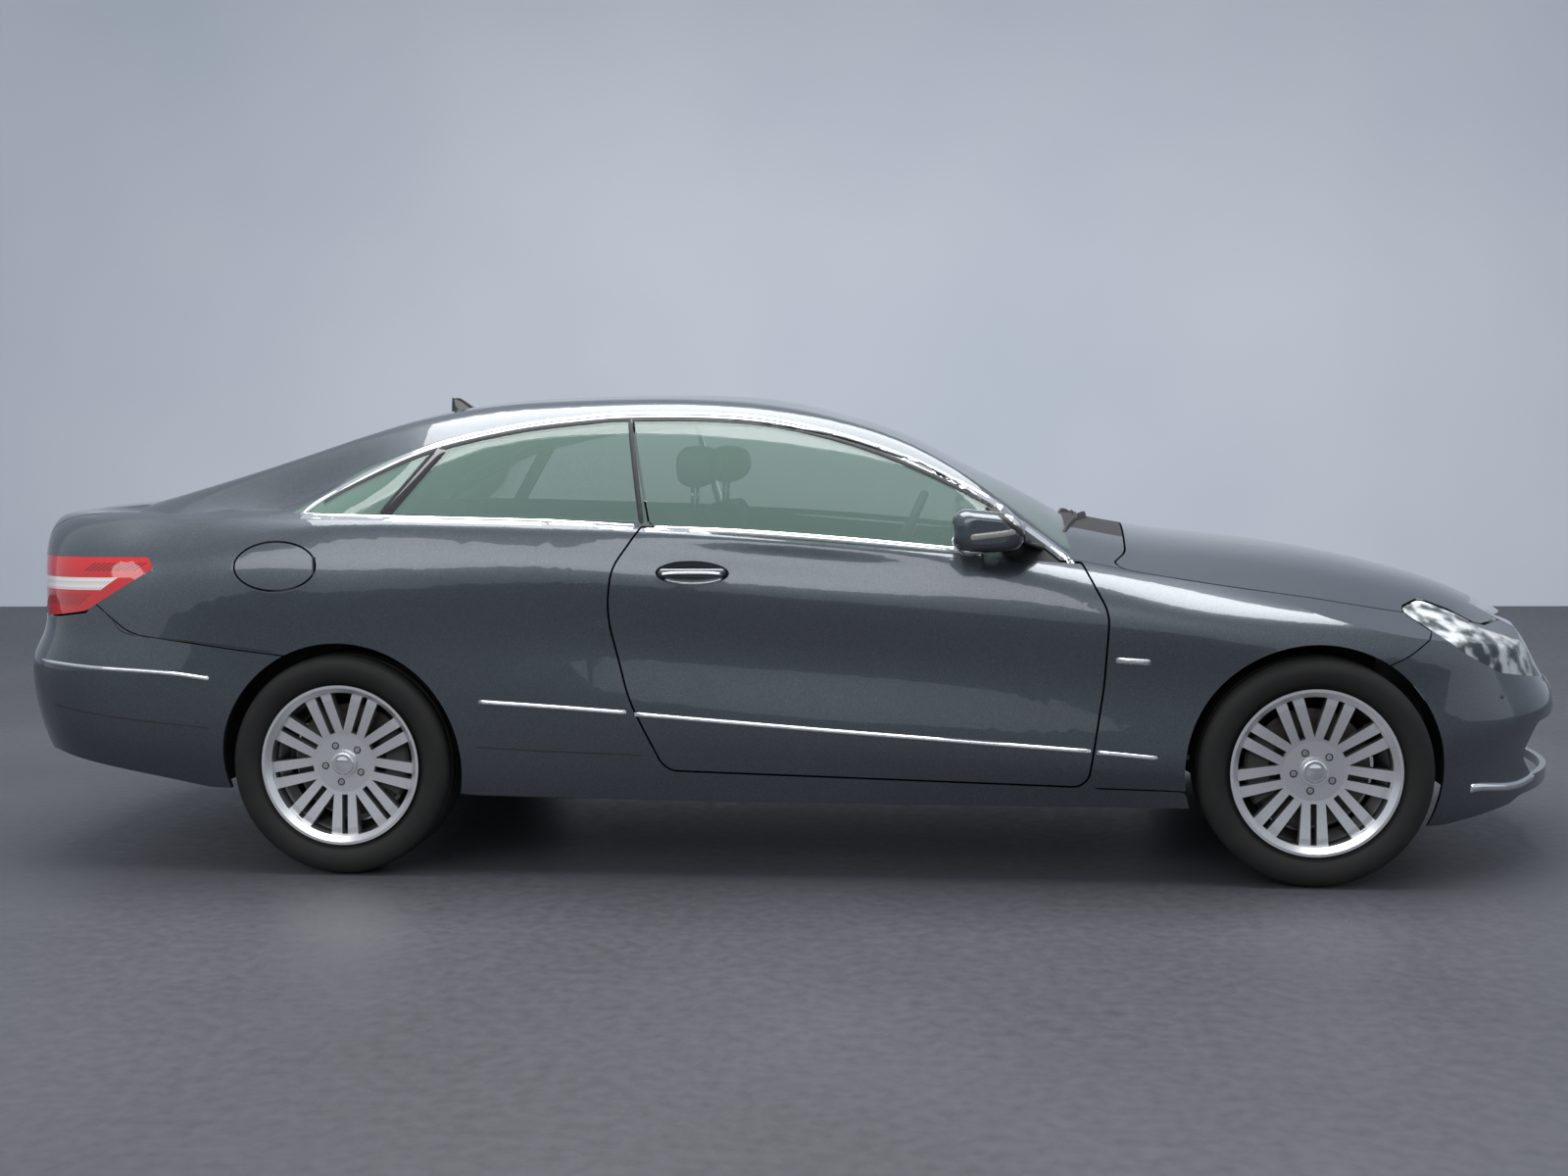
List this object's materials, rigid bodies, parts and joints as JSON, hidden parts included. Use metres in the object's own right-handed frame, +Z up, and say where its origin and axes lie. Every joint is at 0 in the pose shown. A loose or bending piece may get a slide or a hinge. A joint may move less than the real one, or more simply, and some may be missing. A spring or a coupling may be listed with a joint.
{
  "type": "coupe car",
  "caption": "Pillarless coupe body with long bonnet, frameless doors, steered front wheels and a short boot lid.",
  "frame": {"origin": "on the ground under the middle of the length, midway between the sides", "axes": "+X towards the nose, +Y to the car's left, +Z up"},
  "size_m": [4.6994, 2.011, 1.4076],
  "materials": {
    "paint": "gloss metallic",
    "bare_steel": "satin",
    "alloy": "satin",
    "iron": "rough",
    "rubber_tyre": "matt",
    "clear_glass": "polished",
    "lamp_lens": "polished",
    "red_lens": "gloss",
    "black_plastic": "matt",
    "bright_trim": "polished",
    "seat_leather": "grained",
    "under_paint": "matt"
  },
  "bodies": {
    "car_body": {"arch_liners": "black_plastic", "body_side_left": "paint", "body_side_right": "paint", "centre_console": "black_plastic", "cowl": "black_plastic", "dashboard": "black_plastic", "engine_block": "alloy", "exhaust": "bare_steel", "fender_left": "paint", "fender_right": "paint", "firewall": "under_paint", "floor_pan": "under_paint", "front_bumper": "paint", "front_seats": "seat_leather", "front_suspension": "under_paint", "head_lamp_bodies": "bright_trim", "head_lamp_lenses": "lamp_lens", "parcel_shelf": "black_plastic", "radiator": "alloy", "rear_bumper": "paint", "rear_seat": "seat_leather", "rear_side_glass_left": "clear_glass", "rear_side_glass_right": "clear_glass", "rear_suspension": "under_paint", "rear_window": "clear_glass", "roof_aerial": "paint", "roof_panel": "paint", "steering_column": "black_plastic", "tail_lamps": "red_lens", "windscreen": "clear_glass"},
    "door_right": {"door_right": "paint", "door_glass_right": "clear_glass", "mirror_right": "paint"},
    "knuckle_right": {"knuckle_right": "iron"},
    "wheel_front_right": {"wheel_front_right": "alloy", "tyre_front_right": "rubber_tyre", "brake_disc_front_right": "iron"},
    "wheel_rear_right": {"wheel_rear_right": "alloy", "tyre_rear_right": "rubber_tyre", "brake_disc_rear_right": "iron"},
    "door_left": {"door_left": "paint", "door_glass_left": "clear_glass", "mirror_left": "paint"},
    "knuckle_left": {"knuckle_left": "iron"},
    "wheel_front_left": {"wheel_front_left": "alloy", "tyre_front_left": "rubber_tyre", "brake_disc_front_left": "iron"},
    "wheel_rear_left": {"wheel_rear_left": "alloy", "tyre_rear_left": "rubber_tyre", "brake_disc_rear_left": "iron"},
    "bonnet": {"bonnet": "paint", "grille": "bright_trim"},
    "boot_lid": {"boot_lid": "paint", "boot_lamps": "red_lens"},
    "steering_wheel": {"steering_wheel": "seat_leather"},
    "fuel_flap": {"fuel_flap": "paint"}
  },
  "joints": [
    {"name": "door_right_hinge", "type": "hinge", "parent": "car_body", "child": "door_right", "pos_m": [0.87, -0.872, 0.6], "axis": [0, 0, 1], "range_deg": [0, 65]},
    {"name": "steer_right", "type": "hinge", "parent": "car_body", "child": "knuckle_right", "pos_m": [1.507, -0.704, 0.321], "axis": [0, 0, 1], "range_deg": [-35.2, 35.2]},
    {"name": "wheel_front_right_spin", "type": "hinge", "parent": "knuckle_right", "child": "wheel_front_right", "pos_m": [1.507, -0.769, 0.321], "axis": [0, 1, 0], "continuous": true},
    {"name": "wheel_rear_right_spin", "type": "hinge", "parent": "car_body", "child": "wheel_rear_right", "pos_m": [-1.253, -0.772, 0.321], "axis": [0, 1, 0], "continuous": true},
    {"name": "door_left_hinge", "type": "hinge", "parent": "car_body", "child": "door_left", "pos_m": [0.87, 0.872, 0.6], "axis": [0, 0, -1], "range_deg": [0, 65]},
    {"name": "steer_left", "type": "hinge", "parent": "car_body", "child": "knuckle_left", "pos_m": [1.507, 0.704, 0.321], "axis": [0, 0, 1], "range_deg": [-35.2, 35.2]},
    {"name": "wheel_front_left_spin", "type": "hinge", "parent": "knuckle_left", "child": "wheel_front_left", "pos_m": [1.507, 0.769, 0.321], "axis": [0, 1, 0], "continuous": true},
    {"name": "wheel_rear_left_spin", "type": "hinge", "parent": "car_body", "child": "wheel_rear_left", "pos_m": [-1.253, 0.772, 0.321], "axis": [0, 1, 0], "continuous": true},
    {"name": "bonnet_hinge", "type": "hinge", "parent": "car_body", "child": "bonnet", "pos_m": [0.9, 0, 0.975], "axis": [0, -1, 0], "range_deg": [0, 50]},
    {"name": "boot_hinge", "type": "hinge", "parent": "car_body", "child": "boot_lid", "pos_m": [-1.988, 0, 1.074], "axis": [0, 1, 0], "range_deg": [0, 80]},
    {"name": "steering_wheel_turn", "type": "hinge", "parent": "car_body", "child": "steering_wheel", "pos_m": [0.34, 0.37, 0.905], "axis": [-0.9135, 0, 0.4067], "range_deg": [-510, 510]},
    {"name": "fuel_flap_hinge", "type": "hinge", "parent": "car_body", "child": "fuel_flap", "pos_m": [-1.3135, -0.8835, 0.898], "axis": [0, 0, 1], "range_deg": [0, 85]}
  ],
  "couplings": [
    {"joint": "steer_right", "follows": "steering_wheel_turn", "ratio": 0.069},
    {"joint": "steer_left", "follows": "steering_wheel_turn", "ratio": 0.069}
  ]
}
